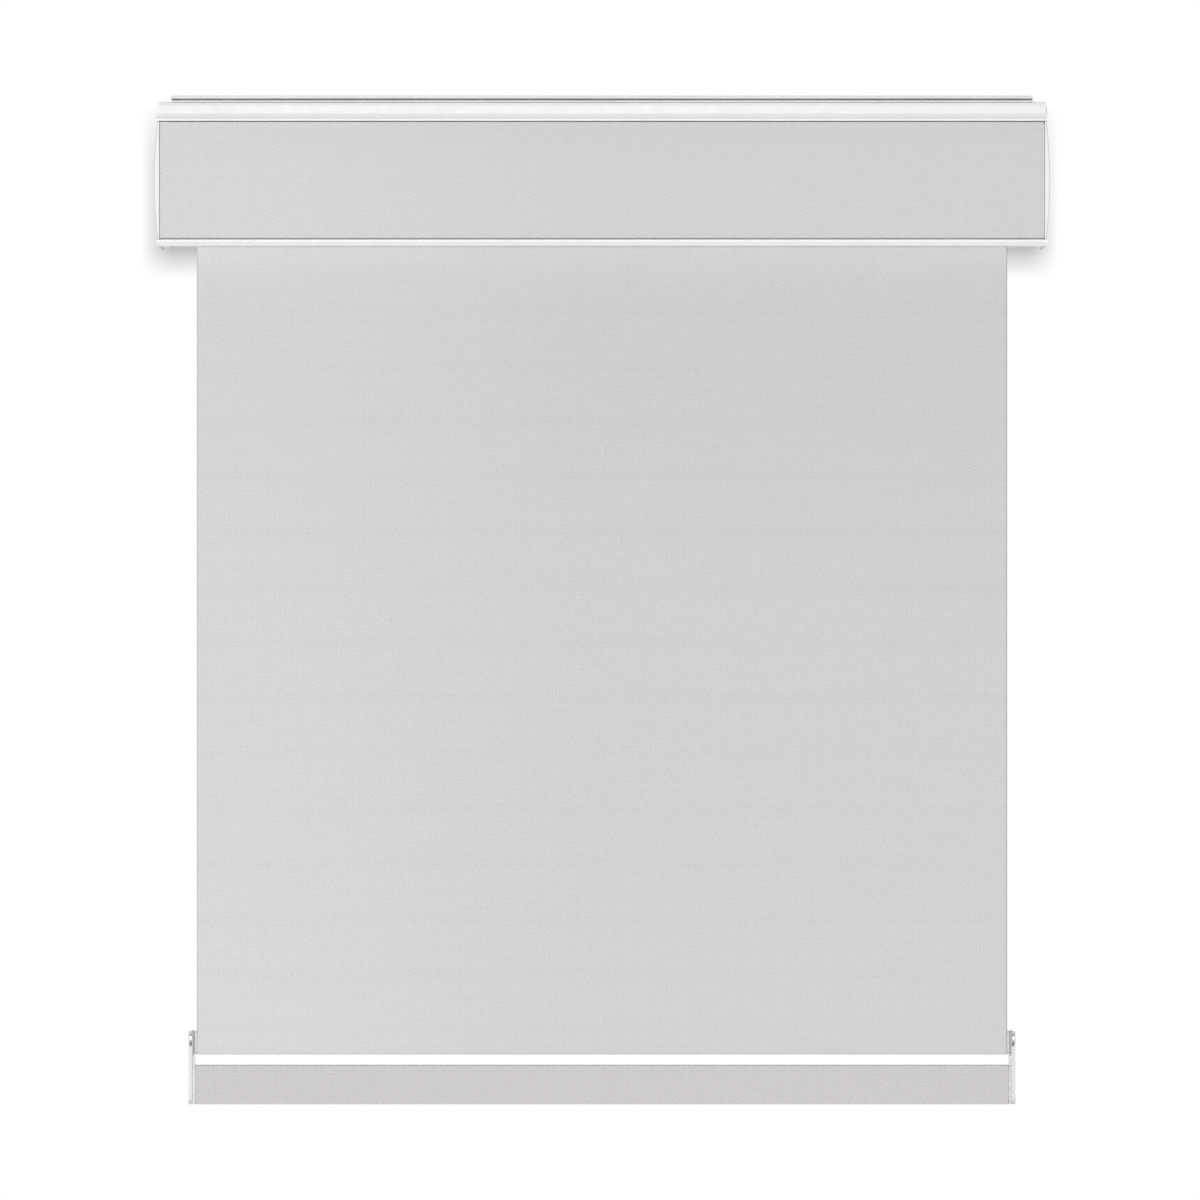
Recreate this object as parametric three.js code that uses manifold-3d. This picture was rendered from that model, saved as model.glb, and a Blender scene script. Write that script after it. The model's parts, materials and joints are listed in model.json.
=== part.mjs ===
// Cordless cassette roller blind: a spring roller inside a head cassette, a fabric panel that
// drops in front of it, and a fabric-covered bottom rail hung below the panel's hem bar.
//
// Millimetres, +Z up. A person in front of the blind looks along +Y and has +X on the right.
// The origin is the centre of the mounting rail's wall face, so the wall is the plane y = 0.
// Sections are drawn as [front, up]: the distance in front of the wall, and the height.

import * as THREE from 'three';
import { mergeVertices } from 'three/addons/utils/BufferGeometryUtils.js';
import Module from 'manifold-3d';

const wasm = await Module();
wasm.setup();

// ---- Driving dimensions ----------------------------------------------------------------

const FIT = 0.3;                 // gap between pieces that touch
const RUNNING = 0.4;             // gap round a shaft or pin that turns or slides

// Widths across X
const LIP_WIDTH = 712;
const HEAD_WIDTH = 710;
const INSERT_WIDTH = 707;
const DOME_WIDTH = 716;
const MOUNT_WIDTH = 690;
const TUBE_WIDTH = 672;
const FABRIC_WIDTH = 649;
const RAIL_WIDTH = 651;
const ARM_WIDTH = 661.8;

// Heights, from the top of the mounting rail down
const FLANGE_HEIGHT = 40;
const MOUNT_HEIGHT = 6.1;
const BAND_HEIGHT = 9;
const UPPER_LIP = 5.9;
const INSERT_SPACE = 94.9;
const LOWER_LIP = 5.1;
const PANEL_SHOWN = 647;
const HEM_HEIGHT = 19.5;
const SLOT_HEIGHT = 8.3;
const RAIL_HEIGHT = 31.4;
const AXIS_DROP = 57.6;          // from the head profile's top to the roller's axis

// Distances in front of the wall
const MOUNT_DEPTH = 80;
const HEAD_BACK = 4;
const HEAD_FRONT = 93.5;
const LIP_FRONT = 97;
const LIP_BACK = 84;
const AXIS_FRONT = 58;

// Wall thicknesses and round sizes
const WALL = 1.6;
const TUBE_RADIUS = 19;
const TUBE_WALL = 1.2;
const ROLL_THICKNESS = 2;
const CLOTH = 0.6;
const PLUG_RADIUS = 15;
const SHAFT_RADIUS = 4;
const RAIL_DEPTH = 13.6;
const HEM_DEPTH = 4.6;
const ARM_DEPTH = 16;

// ---- Levels and places worked out from them --------------------------------------------

const TOP = FLANGE_HEIGHT / 2;
const HEAD_TOP = TOP - MOUNT_HEIGHT;
const LIP_TOP = HEAD_TOP - BAND_HEIGHT;
const INSERT_TOP = LIP_TOP - UPPER_LIP;
const INSERT_FOOT = INSERT_TOP - INSERT_SPACE;
const CASSETTE_FOOT = INSERT_FOOT - LOWER_LIP;
const PANEL_FOOT = CASSETTE_FOOT - PANEL_SHOWN;
const HEM_TOP = PANEL_FOOT + HEM_HEIGHT;
const RAIL_TOP = PANEL_FOOT - SLOT_HEIGHT;
const RAIL_FOOT = RAIL_TOP - RAIL_HEIGHT;
const AXIS_UP = HEAD_TOP - AXIS_DROP;
const PANEL_FRONT = AXIS_FRONT + TUBE_RADIUS + FIT + ROLL_THICKNESS + FIT + CLOTH / 2;
const WEB_FRONT = HEAD_FRONT - 0.1;
const CAP_INNER = INSERT_WIDTH / 2 + FIT;
const BRACKET_OUTER = CAP_INNER - FIT;
const BRACKET_WALL = 2;
const BRACKET_INNER = BRACKET_OUTER - BRACKET_WALL;
const TUBE_END = TUBE_WIDTH / 2;
const SIDES = [['left', -1], ['right', 1]];

// ---- Finishes --------------------------------------------------------------------------

const finishes = {
  white_aluminium: [0xf1f1f0, 0.42, 0.15],
  bare_aluminium: [0xc9cacc, 0.38, 0.85],
  white_plastic: [0xf4f4f2, 0.45, 0],
  frosted_plastic: [0xdcdddb, 0.35, 0],
  dark_rubber: [0x6f7370, 0.8, 0],
  grey_plastic: [0xa7a9ab, 0.55, 0],
  steel: [0xb9bbbd, 0.35, 0.9],
  fabric: [0xd5d3d3, 0.95, 0],
};

function finish(name) {
  const [color, roughness, metalness] = finishes[name];
  return new THREE.MeshStandardMaterial({ name, color, roughness, metalness });
}

// ---- Shape helpers ---------------------------------------------------------------------

function arc(front, up, radius, from, to, steps) {
  return Array.from({ length: steps + 1 }, (_, i) => {
    const angle = THREE.MathUtils.degToRad(from + (to - from) * i / steps);
    return [front + radius * Math.cos(angle), up + radius * Math.sin(angle)];
  });
}

function circle(front, up, radius, steps = 12) {
  return arc(front, up, radius, 0, 360, steps).slice(0, -1);
}

// A rectangle centred on [front, up] with rounded corners
function rounded(front, up, depth, height, radius, steps = 4) {
  const a = depth / 2 - radius;
  const b = height / 2 - radius;
  return [
    ...arc(front + a, up + b, radius, 0, 90, steps),
    ...arc(front - a, up + b, radius, 90, 180, steps),
    ...arc(front - a, up - b, radius, 180, 270, steps),
    ...arc(front + a, up - b, radius, 270, 360, steps),
  ];
}

function rectangle(front0, front1, up0, up1) {
  return [[front0, up0], [front1, up0], [front1, up1], [front0, up1]];
}

// A section in [front, up] carried along X from x0 to x1, whichever is lower
function alongX(outline, x0, x1, holes = []) {
  const shape = new THREE.Shape(outline.map(p => new THREE.Vector2(...p)));
  shape.holes = holes.map(hole => new THREE.Path(hole.map(p => new THREE.Vector2(...p))));
  const depth = Math.abs(x1 - x0);
  const geometry = new THREE.ExtrudeGeometry(shape, { depth, bevelEnabled: false });
  geometry.applyMatrix4(new THREE.Matrix4().makeBasis(
    new THREE.Vector3(0, -1, 0), new THREE.Vector3(0, 0, 1), new THREE.Vector3(-1, 0, 0)));
  geometry.translate(Math.max(x0, x1), 0, 0);
  return geometry;
}

// A section in [x, up] carried along Y between two distances in front of the wall
function alongY(outline, front0, front1) {
  const shape = new THREE.Shape(outline.map(p => new THREE.Vector2(...p)));
  const depth = Math.abs(front1 - front0);
  const geometry = new THREE.ExtrudeGeometry(shape, { depth, bevelEnabled: false });
  geometry.rotateX(Math.PI / 2);
  geometry.translate(0, -Math.min(front0, front1), 0);
  return geometry;
}

// A ring or rod turned about a line along X, from a loop of [x, radius] points
function turned(loop, front, up, around = 28) {
  const points = loop.map(([x, radius]) => new THREE.Vector2(radius, x));
  const geometry = new THREE.LatheGeometry(points, around);
  geometry.rotateZ(-Math.PI / 2);
  geometry.translate(0, -front, up);
  return facingOut(geometry);
}

// A loop of [x, radius] points for the left side (-1) or the right side (1)
function mirrored(loop, side) {
  return loop.map(([x, radius]) => [side * x, radius]);
}

function rod(x0, x1, radius, front, up, around = 16) {
  return turned([[x0, 0], [x0, radius], [x1, radius], [x1, 0]], front, up, around);
}

// Turns every triangle over when the mesh's signed volume is negative
function facingOut(geometry) {
  const position = geometry.getAttribute('position');
  const index = geometry.index;
  const corner = i => new THREE.Vector3().fromBufferAttribute(position, index.getX(i));
  let volume = 0;
  for (let i = 0; i < index.count; i += 3) {
    volume += corner(i).dot(corner(i + 1).cross(corner(i + 2)));
  }
  if (volume < 0) {
    for (let i = 0; i < index.count; i += 3) {
      const second = index.getX(i + 1);
      index.setX(i + 1, index.getX(i + 2));
      index.setX(i + 2, second);
    }
    geometry.computeVertexNormals();
  }
  return geometry;
}

// A wire of the given radius wound about a line along X
class Helix extends THREE.Curve {
  constructor(x0, x1, radius, turns, front, up) {
    super();
    Object.assign(this, { x0, x1, radius, turns, front, up });
  }

  getPoint(t, target = new THREE.Vector3()) {
    const angle = 2 * Math.PI * this.turns * t;
    return target.set(
      this.x0 + (this.x1 - this.x0) * t,
      -this.front + this.radius * Math.cos(angle),
      this.up + this.radius * Math.sin(angle));
  }
}

function coil(path, wire, stepsPerTurn, sides) {
  const section = new THREE.Shape(circle(0, 0, wire, sides).map(p => new THREE.Vector2(...p)));
  const steps = Math.round(path.turns * stepsPerTurn);
  return new THREE.ExtrudeGeometry(section, { steps, extrudePath: path, bevelEnabled: false });
}

// ---- Joining and cutting ---------------------------------------------------------------

function toSolid(geometry) {
  const bare = geometry.clone();
  bare.deleteAttribute('normal');
  bare.deleteAttribute('uv');
  const merged = mergeVertices(bare, 1e-4);
  const corners = merged.index.array;
  const triangles = [];
  for (let i = 0; i < corners.length; i += 3) {
    const [a, b, c] = corners.slice(i, i + 3);
    if (a !== b && b !== c && c !== a) triangles.push(a, b, c);
  }
  const vertProperties = new Float32Array(merged.getAttribute('position').array);
  const triVerts = new Uint32Array(triangles);
  return new wasm.Manifold(new wasm.Mesh({ numProp: 3, vertProperties, triVerts }));
}

function toGeometry(manifold) {
  const mesh = manifold.getMesh();
  const geometry = new THREE.BufferGeometry();
  geometry.setAttribute('position', new THREE.BufferAttribute(mesh.vertProperties, 3));
  geometry.setIndex(new THREE.BufferAttribute(mesh.triVerts, 1));
  geometry.computeVertexNormals();
  return geometry;
}

function joined(first, ...others) {
  return toGeometry(others.reduce((sum, next) => sum.add(toSolid(next)), toSolid(first)));
}

function cut(body, ...tools) {
  return toGeometry(tools.reduce((left, tool) => left.subtract(toSolid(tool)), toSolid(body)));
}

function place(parent, name, geometry, finishName) {
  const mesh = new THREE.Mesh(geometry, finish(finishName));
  mesh.name = name;
  parent.add(mesh);
}

// ---- Mounting rail and its clips -------------------------------------------------------

const FIXING_HOLES = [-300, -110, 110, 300];
const FIXING_RADIUS = 2.5;
const CLIPS = [['left', -250], ['middle', 0], ['right', 250]];
const MOUNT_WALL = 1.8;
const NOSE_DEPTH = 9;
const NOSE_GAP = 0.9;
const GROOVE_UP = 16.8;
const GROOVE_HALF = 0.8;

function holeAlongY(x, up, radius, front0, front1) {
  const tool = new THREE.CylinderGeometry(radius, radius, front1 - front0, 12);
  return tool.translate(x, -(front0 + front1) / 2, up);
}

function holeAlongZ(x, front, radius, up0, up1) {
  const tool = new THREE.CylinderGeometry(radius, radius, up1 - up0, 12);
  return tool.rotateX(Math.PI / 2).translate(x, -front, (up0 + up1) / 2);
}

// An angle with a deep nose, whose front has a narrow tapered groove
function mountingRail() {
  const back = MOUNT_DEPTH - NOSE_DEPTH;
  const foot = HEAD_TOP + NOSE_GAP;
  const under = TOP - MOUNT_WALL;
  const half = MOUNT_WIDTH / 2;
  const bar = alongX([
    [0, TOP], [0, -TOP], [MOUNT_WALL, -TOP], [MOUNT_WALL, under],
    [back, under], [back, foot], [MOUNT_DEPTH, foot],
    [MOUNT_DEPTH, GROOVE_UP - GROOVE_HALF], [back + MOUNT_WALL, GROOVE_UP - 0.1],
    [back + MOUNT_WALL, GROOVE_UP + 0.1], [MOUNT_DEPTH, GROOVE_UP + GROOVE_HALF],
    [MOUNT_DEPTH, TOP - 0.6], [MOUNT_DEPTH - 0.6, TOP],
  ], -half, half);
  const wallHoles = FIXING_HOLES.map(x => holeAlongY(x, -6, FIXING_RADIUS, -1, MOUNT_WALL + 1));
  const ceilingHoles = FIXING_HOLES.map(x => holeAlongZ(x, 30, FIXING_RADIUS, under - 1, TOP + 1));
  return cut(bar, ...wallHoles, ...ceilingHoles);
}

const HOOK_FRONTS = [14, 60];
const HOOK_HEIGHT = 2;
const CLIP_WIDTH = 32;

// A spring clip held between the rail and the two hooks on top of the head profile
function mountingClip(x) {
  const [backHook, frontHook] = HOOK_FRONTS;
  const top = TOP - MOUNT_WALL - FIT;
  const foot = HEAD_TOP + FIT;
  const inner = backHook + 1 + FIT;
  const outer = frontHook - FIT;
  return alongX([
    [inner, foot], [inner + 3, foot], [inner + 3, foot + 0.8], [inner + 1, foot + 0.8],
    [inner + 1, top - 1], [outer - 1, top - 1], [outer - 1, foot + 0.8],
    [outer - 3, foot + 0.8], [outer - 3, foot], [outer, foot], [outer, top], [inner, top],
  ], x - CLIP_WIDTH / 2, x + CLIP_WIDTH / 2);
}

// ---- Cassette --------------------------------------------------------------------------

const HEAD_BACK_HEIGHT = 40;
const HEAD_CORNER = 2.4;
const RIB_FRONT = 40;
const RIB_WALL = 1.4;
const RIB_HEIGHT = 3;
const LIP_REBATE = 1;

function headProfile() {
  const under = HEAD_TOP - WALL;
  const foot = LIP_TOP - LIP_REBATE + FIT;
  const ribBack = RIB_FRONT - RIB_WALL;
  const corner = HEAD_FRONT - HEAD_CORNER;
  const hooks = HOOK_FRONTS.flatMap(front => [
    [front, HEAD_TOP], [front, HEAD_TOP + HOOK_HEIGHT],
    [front + 1, HEAD_TOP + HOOK_HEIGHT], [front + 1, HEAD_TOP],
  ]);
  const half = HEAD_WIDTH / 2;
  return alongX([
    [HEAD_BACK, HEAD_TOP - HEAD_BACK_HEIGHT], [HEAD_BACK, HEAD_TOP], ...hooks,
    ...arc(corner, HEAD_TOP - HEAD_CORNER, HEAD_CORNER, 90, 0, 5),
    [HEAD_FRONT, foot], [HEAD_FRONT - WALL, foot],
    ...arc(corner, HEAD_TOP - HEAD_CORNER, HEAD_CORNER - WALL, 0, 90, 4),
    [RIB_FRONT, under], [RIB_FRONT, under - RIB_HEIGHT],
    [ribBack, under - RIB_HEIGHT], [ribBack, under],
    [HEAD_BACK + WALL, under], [HEAD_BACK + WALL, HEAD_TOP - HEAD_BACK_HEIGHT + 1],
    [HEAD_BACK + 3.6, HEAD_TOP - HEAD_BACK_HEIGHT + 1], [HEAD_BACK + 3.6, HEAD_TOP - HEAD_BACK_HEIGHT],
  ], -half, half);
}

const CHANNEL_BACK = 88;
const CHANNEL_WALL = 1.2;
const CHANNEL_HEIGHT = 2;
const CHANNEL_SLOPE = 0.5;

// The fascia's section: two lips that slope inwards below their upper edges, the upper one with a
// rebate over the head profile's front edge and a bead along its foot, and between them the web
// that carries the fabric insert. A tapered channel behind each lip takes the insert's edge. There
// is a hook behind the head profile's front edge and a stiffening edge along the foot
function fascia() {
  const web = WEB_FRONT - WALL;
  const behind = CHANNEL_BACK - CHANNEL_WALL;
  const upper = INSERT_TOP - CHANNEL_HEIGHT;
  const lower = INSERT_FOOT + CHANNEL_HEIGHT;
  const hookTop = HEAD_TOP - WALL - 1.5;
  const half = LIP_WIDTH / 2;
  const bar = alongX([
    [LIP_BACK, hookTop], [LIP_BACK, LIP_TOP - LIP_REBATE - WALL],
    [behind, LIP_TOP - LIP_REBATE - WALL],
    [behind, upper - CHANNEL_WALL], [web, upper - CHANNEL_WALL],
    [web, lower + CHANNEL_WALL], [behind, lower + CHANNEL_WALL],
    [behind, CASSETTE_FOOT + WALL], [LIP_BACK + WALL, CASSETTE_FOOT + WALL],
    [LIP_BACK + WALL, CASSETTE_FOOT + 5], [LIP_BACK, CASSETTE_FOOT + 5],
    [LIP_BACK, CASSETTE_FOOT], [LIP_FRONT - 2.1, CASSETTE_FOOT],
    [LIP_FRONT - 1.6, CASSETTE_FOOT + 0.5], [LIP_FRONT, INSERT_FOOT - 1.8],
    [LIP_FRONT, INSERT_FOOT - 0.3], [LIP_FRONT - 0.3, INSERT_FOOT],
    [CHANNEL_BACK, INSERT_FOOT + CHANNEL_SLOPE], [WEB_FRONT, lower],
    [WEB_FRONT, upper], [CHANNEL_BACK, INSERT_TOP - CHANNEL_SLOPE],
    [LIP_FRONT - 0.1, INSERT_TOP], [LIP_FRONT, INSERT_TOP + 0.1], [LIP_FRONT, INSERT_TOP + 1.3],
    [LIP_FRONT - 0.1, INSERT_TOP + 1.4], [LIP_FRONT - 2.6, INSERT_TOP + 1.5],
    [LIP_FRONT - 0.1, LIP_TOP - 0.3], [LIP_FRONT - 0.4, LIP_TOP],
    [HEAD_FRONT + FIT, LIP_TOP], [HEAD_FRONT + FIT, LIP_TOP - LIP_REBATE],
    [LIP_BACK + WALL, LIP_TOP - LIP_REBATE], [LIP_BACK + WALL, hookTop],
  ], -half, half);
  const ends = SIDES.map(([, side]) => alongX(
    rectangle(LIP_BACK - 1, LIP_FRONT + 1, INSERT_FOOT, INSERT_TOP),
    side * (CAP_INNER - FIT), side * (half + 1)));
  return cut(bar, ...ends);
}

// The insert is pushed home to the left, so its end gap shows on the right
function fasciaInsert() {
  const back = WEB_FRONT + FIT;
  const outline = rectangle(back, back + 1.4, INSERT_FOOT + 1.1, INSERT_TOP - 0.8);
  return alongX(outline, FIT - CAP_INNER, CAP_INNER - 1);
}

const BRACKET_SCREWS = [['upper', 26], ['lower', -26]];
const BRACKET_HOLE = 2;
const SCREW_FRONT = AXIS_FRONT - 10;

function endCap(side) {
  const back = HEAD_BACK + WALL + FIT + 2;
  const behindLips = LIP_BACK - FIT;
  const top = HEAD_TOP - WALL - RIB_HEIGHT - FIT;
  const lens = INSERT_TOP - FIT;
  const lensFoot = INSERT_FOOT + FIT;
  const front = WEB_FRONT + 1.6;
  const plateOuter = LIP_WIDTH / 2 - 0.6;
  const plate = alongX([
    [back, CASSETTE_FOOT], [behindLips, CASSETTE_FOOT], [behindLips, lensFoot],
    [front, lensFoot], [front, lens], [behindLips, lens], [behindLips, top], [back, top],
  ], side * CAP_INNER, side * plateOuter);
  const swell = DOME_WIDTH / 2 - plateOuter;
  const chord = (lens - lensFoot) / 2;
  const radius = (chord * chord + swell * swell) / (2 * swell);
  const spread = THREE.MathUtils.radToDeg(Math.asin(chord / radius));
  const dome = arc(DOME_WIDTH / 2 - radius, (lens + lensFoot) / 2, radius, -spread, spread, 16);
  const outline = [[plateOuter - 1, lens], [plateOuter - 1, lensFoot], ...dome];
  const bulge = alongY(outline.map(([x, up]) => [side * x, up]), back + 4, front);
  const rimOuter = rectangle(back + 1, behindLips - 1, CASSETTE_FOOT + 1, top - 4);
  const rimInner = rectangle(back + 3, behindLips - 3, CASSETTE_FOOT + 3, top - 6);
  const rim = alongX(rimOuter, side * (CAP_INNER + 1), side * (CAP_INNER - 7), [rimInner]);
  const holes = BRACKET_SCREWS.map(([, rise]) => rod(
    side * (CAP_INNER - 1), side * (CAP_INNER + 2.2), BRACKET_HOLE, SCREW_FRONT, AXIS_UP + rise, 12));
  return cut(joined(plate, bulge, rim), ...holes);
}

// The steel plate that carries one end of the roller; the left one has a flat slot that keeps
// the spring shaft from turning, the right one a round hole for the sprung pin
function endBracket(side) {
  const pinHole = side < 0
    ? rectangle(AXIS_FRONT - 2.6, AXIS_FRONT + 2.6, AXIS_UP - 3.9, AXIS_UP + 3.9)
    : circle(AXIS_FRONT, AXIS_UP, SHAFT_RADIUS + RUNNING, 16);
  const screwHoles = BRACKET_SCREWS.map(([, rise]) => circle(
    SCREW_FRONT, AXIS_UP + rise, BRACKET_HOLE, 12));
  const plate = rounded(AXIS_FRONT - 6, AXIS_UP, 42, 70, 6);
  return alongX(plate, side * BRACKET_INNER, side * BRACKET_OUTER, [pinHole, ...screwHoles]);
}

function bracketScrew(side, rise) {
  const under = BRACKET_INNER - FIT;
  const loop = [
    [under - 2, 0], [under - 2, 2.6], [under - 1.2, 3.6], [under, 3.6],
    [under, 1.6], [under + 4, 1.6], [under + 4.4, 0],
  ];
  return turned(mirrored(loop, side), SCREW_FRONT, AXIS_UP + rise, 16);
}

// ---- Roller ----------------------------------------------------------------------------

const GROOVE_DEPTH = 3;
const GROOVE_HALF_ANGLE = 7;

// A tube section with a groove at the back that grips the fabric's fixing strip
function tubeLoop(radius, grooveRadius, halfAngle) {
  return [
    ...arc(AXIS_FRONT, AXIS_UP, radius, -180 + halfAngle, 180 - halfAngle, 44),
    ...arc(AXIS_FRONT, AXIS_UP, grooveRadius, 180 - halfAngle, 180 + halfAngle, 1),
  ];
}

function rollerTube() {
  const floor = TUBE_RADIUS - GROOVE_DEPTH;
  const outer = tubeLoop(TUBE_RADIUS, floor, GROOVE_HALF_ANGLE);
  const inner = tubeLoop(TUBE_RADIUS - TUBE_WALL, floor - 0.3, GROOVE_HALF_ANGLE + 4);
  return alongX(outer, -TUBE_END, TUBE_END, [inner]);
}

function fixingStrip() {
  const back = AXIS_FRONT - TUBE_RADIUS + 0.4;
  const half = FABRIC_WIDTH / 2;
  return alongX(rectangle(back, back + 2, AXIS_UP - 1.5, AXIS_UP + 1.5), -half, half);
}

function fabricRoll() {
  const inner = TUBE_RADIUS + FIT;
  const half = FABRIC_WIDTH / 2;
  const outline = circle(AXIS_FRONT, AXIS_UP, inner + ROLL_THICKNESS, 48);
  return alongX(outline, -half, half, [circle(AXIS_FRONT, AXIS_UP, inner, 48)]);
}

const ANCHOR_X = -300;
const DRIVE_X = -60;
const COIL_RADIUS = 10.4;
const COIL_WIRE = 0.9;
const NOSE_RADIUS = 8.4;
const NOSE_LENGTH = 16;
const COLLAR_LENGTH = 9;
const SHAFT_INNER_END = DRIVE_X + 12;

function springShaft() {
  const bearing = -BRACKET_INNER + 0.6;
  const round = rod(bearing, SHAFT_INNER_END, SHAFT_RADIUS, AXIS_FRONT, AXIS_UP, 20);
  const tip = alongX(
    rectangle(AXIS_FRONT - 2.2, AXIS_FRONT + 2.2, AXIS_UP - 3.3, AXIS_UP + 3.3),
    -BRACKET_OUTER + 0.2, bearing + 1);
  return joined(round, tip);
}

function collared(flangeX0, flangeX1, noseX1, flangeRadius, bore) {
  return turned([
    [flangeX0, bore], [flangeX0, flangeRadius], [flangeX1, flangeRadius],
    [flangeX1, NOSE_RADIUS], [noseX1, NOSE_RADIUS], [noseX1, bore], [flangeX0, bore],
  ], AXIS_FRONT, AXIS_UP);
}

function springAnchor() {
  const face = ANCHOR_X + COLLAR_LENGTH;
  return collared(ANCHOR_X, face, face + NOSE_LENGTH, 13.5, SHAFT_RADIUS + FIT);
}

function springDrivePlug() {
  const face = DRIVE_X - COLLAR_LENGTH * 2;
  return collared(DRIVE_X, face, face - NOSE_LENGTH, PLUG_RADIUS, SHAFT_RADIUS + RUNNING);
}

function torsionSpring() {
  const x0 = ANCHOR_X + COLLAR_LENGTH + COIL_WIRE + 3 * FIT;
  const x1 = DRIVE_X - 2 * COLLAR_LENGTH - COIL_WIRE - 3 * FIT;
  return coil(new Helix(x0, x1, COIL_RADIUS, 20, AXIS_FRONT, AXIS_UP), COIL_WIRE, 9, 5);
}

function shaftRetainer() {
  const x0 = DRIVE_X + 2;
  return turned([
    [x0, SHAFT_RADIUS + FIT], [x0, 7.5], [x0 + 1.4, 7.5], [x0 + 1.4, SHAFT_RADIUS + FIT],
    [x0, SHAFT_RADIUS + FIT],
  ], AXIS_FRONT, AXIS_UP, 20);
}

const PLUG_FLANGE = 2.2;
const PLUG_LENGTH = 30;

// The bearing plug at the spring end: a flange over the tube's end and a body inside it
function springEndPlug() {
  const bore = SHAFT_RADIUS + RUNNING;
  const face = -TUBE_END - FIT;
  return turned([
    [face - PLUG_FLANGE, bore], [face - PLUG_FLANGE, TUBE_RADIUS], [face, TUBE_RADIUS],
    [face, PLUG_RADIUS], [face + PLUG_LENGTH, PLUG_RADIUS], [face + PLUG_LENGTH, bore],
    [face - PLUG_FLANGE, bore],
  ], AXIS_FRONT, AXIS_UP);
}

const COLLAR_OUTER = TUBE_END - 6;
const COLLAR_INNER = COLLAR_OUTER - 3;
const CHAMBER_RADIUS = 6.2;
const CHAMBER_FLOOR = TUBE_END - 30;

// The plug at the free end holds a sprung pin in a chamber that is wider than its mouth
function idlePlug() {
  const face = TUBE_END + FIT;
  const mouth = SHAFT_RADIUS + RUNNING;
  return turned([
    [CHAMBER_FLOOR - 4, 0], [CHAMBER_FLOOR - 4, PLUG_RADIUS], [face, PLUG_RADIUS],
    [face, TUBE_RADIUS], [face + PLUG_FLANGE, TUBE_RADIUS], [face + PLUG_FLANGE, mouth],
    [COLLAR_OUTER + FIT, mouth], [COLLAR_OUTER + FIT, CHAMBER_RADIUS],
    [CHAMBER_FLOOR, CHAMBER_RADIUS], [CHAMBER_FLOOR, 0],
  ], AXIS_FRONT, AXIS_UP);
}

function idlePin() {
  const tip = BRACKET_OUTER - 0.3;
  return turned([
    [COLLAR_INNER - 8, 0], [COLLAR_INNER - 8, 2.6], [COLLAR_INNER, 2.6], [COLLAR_INNER, 5.7],
    [COLLAR_OUTER, 5.7], [COLLAR_OUTER, SHAFT_RADIUS], [tip - 1, SHAFT_RADIUS],
    [tip, SHAFT_RADIUS - 1], [tip, 0],
  ], AXIS_FRONT, AXIS_UP, 20);
}

function idlePinSpring() {
  const x0 = CHAMBER_FLOOR + 0.8;
  const x1 = COLLAR_INNER - 0.8;
  return coil(new Helix(x0, x1, 4.4, 7, AXIS_FRONT, AXIS_UP), 0.45, 9, 5);
}

// ---- Fabric panel and hem --------------------------------------------------------------

const HEM_MIDDLE = HEM_TOP - HEM_HEIGHT / 2;
const HANG_FRONT = PANEL_FRONT - (HEM_DEPTH - CLOTH) / 2;
const HEM_CORNER = 1.8;
const HEM_PLUG_X = FABRIC_WIDTH / 2 + FIT;
const HEM_BAR_END = 317;
const HEM_BAR_DEPTH = 2.8;
const HEM_BAR_HEIGHT = 16.4;
const PIN_RADIUS = 0.6;
const PIN_HEAD_RADIUS = 5.8;
const PIN_UP = HEM_TOP - 0.6 - PIN_HEAD_RADIUS;

function fabricPanel() {
  const half = FABRIC_WIDTH / 2;
  const back = PANEL_FRONT - CLOTH / 2;
  return alongX(rectangle(back, back + CLOTH, HEM_TOP + FIT, AXIS_UP), -half, half);
}

function hemPocket() {
  const half = FABRIC_WIDTH / 2;
  const outline = rounded(HANG_FRONT, HEM_MIDDLE, HEM_DEPTH, HEM_HEIGHT, HEM_CORNER, 5);
  const inside = rounded(HANG_FRONT, HEM_MIDDLE,
    HEM_DEPTH - 2 * CLOTH, HEM_HEIGHT - 2 * CLOTH, HEM_CORNER - CLOTH, 5);
  return alongX(outline, -half, half, [inside]);
}

function hemBar() {
  const outline = rounded(HANG_FRONT, HEM_MIDDLE, HEM_BAR_DEPTH, HEM_BAR_HEIGHT, 0.8);
  return alongX(outline, -HEM_BAR_END, HEM_BAR_END);
}

function pinHole(side, x0, x1) {
  return alongX(circle(HANG_FRONT, PIN_UP, PIN_RADIUS + FIT, 12), side * x0, side * x1);
}

// A plug in the end of the hem pocket, with a flange that shows beside the fabric
function hemPlug(side) {
  const flange = alongX(rounded(HANG_FRONT, HEM_MIDDLE, HEM_DEPTH, HEM_HEIGHT - 0.8, HEM_CORNER),
    side * HEM_PLUG_X, side * (HEM_PLUG_X + 0.9));
  const spigot = alongX(rounded(HANG_FRONT, HEM_MIDDLE, HEM_BAR_DEPTH, HEM_BAR_HEIGHT, 0.8),
    side * (HEM_BAR_END + FIT), side * (HEM_PLUG_X + 0.5));
  return cut(joined(flange, spigot), pinHole(side, HEM_BAR_END, HEM_PLUG_X + 2));
}

const WASHER_X = HEM_PLUG_X + 0.9 + FIT;
const WASHER_WALL = 1.3;

function hemWasher(side) {
  return alongX(rounded(HANG_FRONT, HEM_MIDDLE, HEM_DEPTH + 2, HEM_HEIGHT - 0.8, 2.6),
    side * WASHER_X, side * (WASHER_X + WASHER_WALL),
    [circle(HANG_FRONT, PIN_UP, PIN_RADIUS + FIT, 12)]);
}

// ---- Bottom rail -----------------------------------------------------------------------

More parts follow.
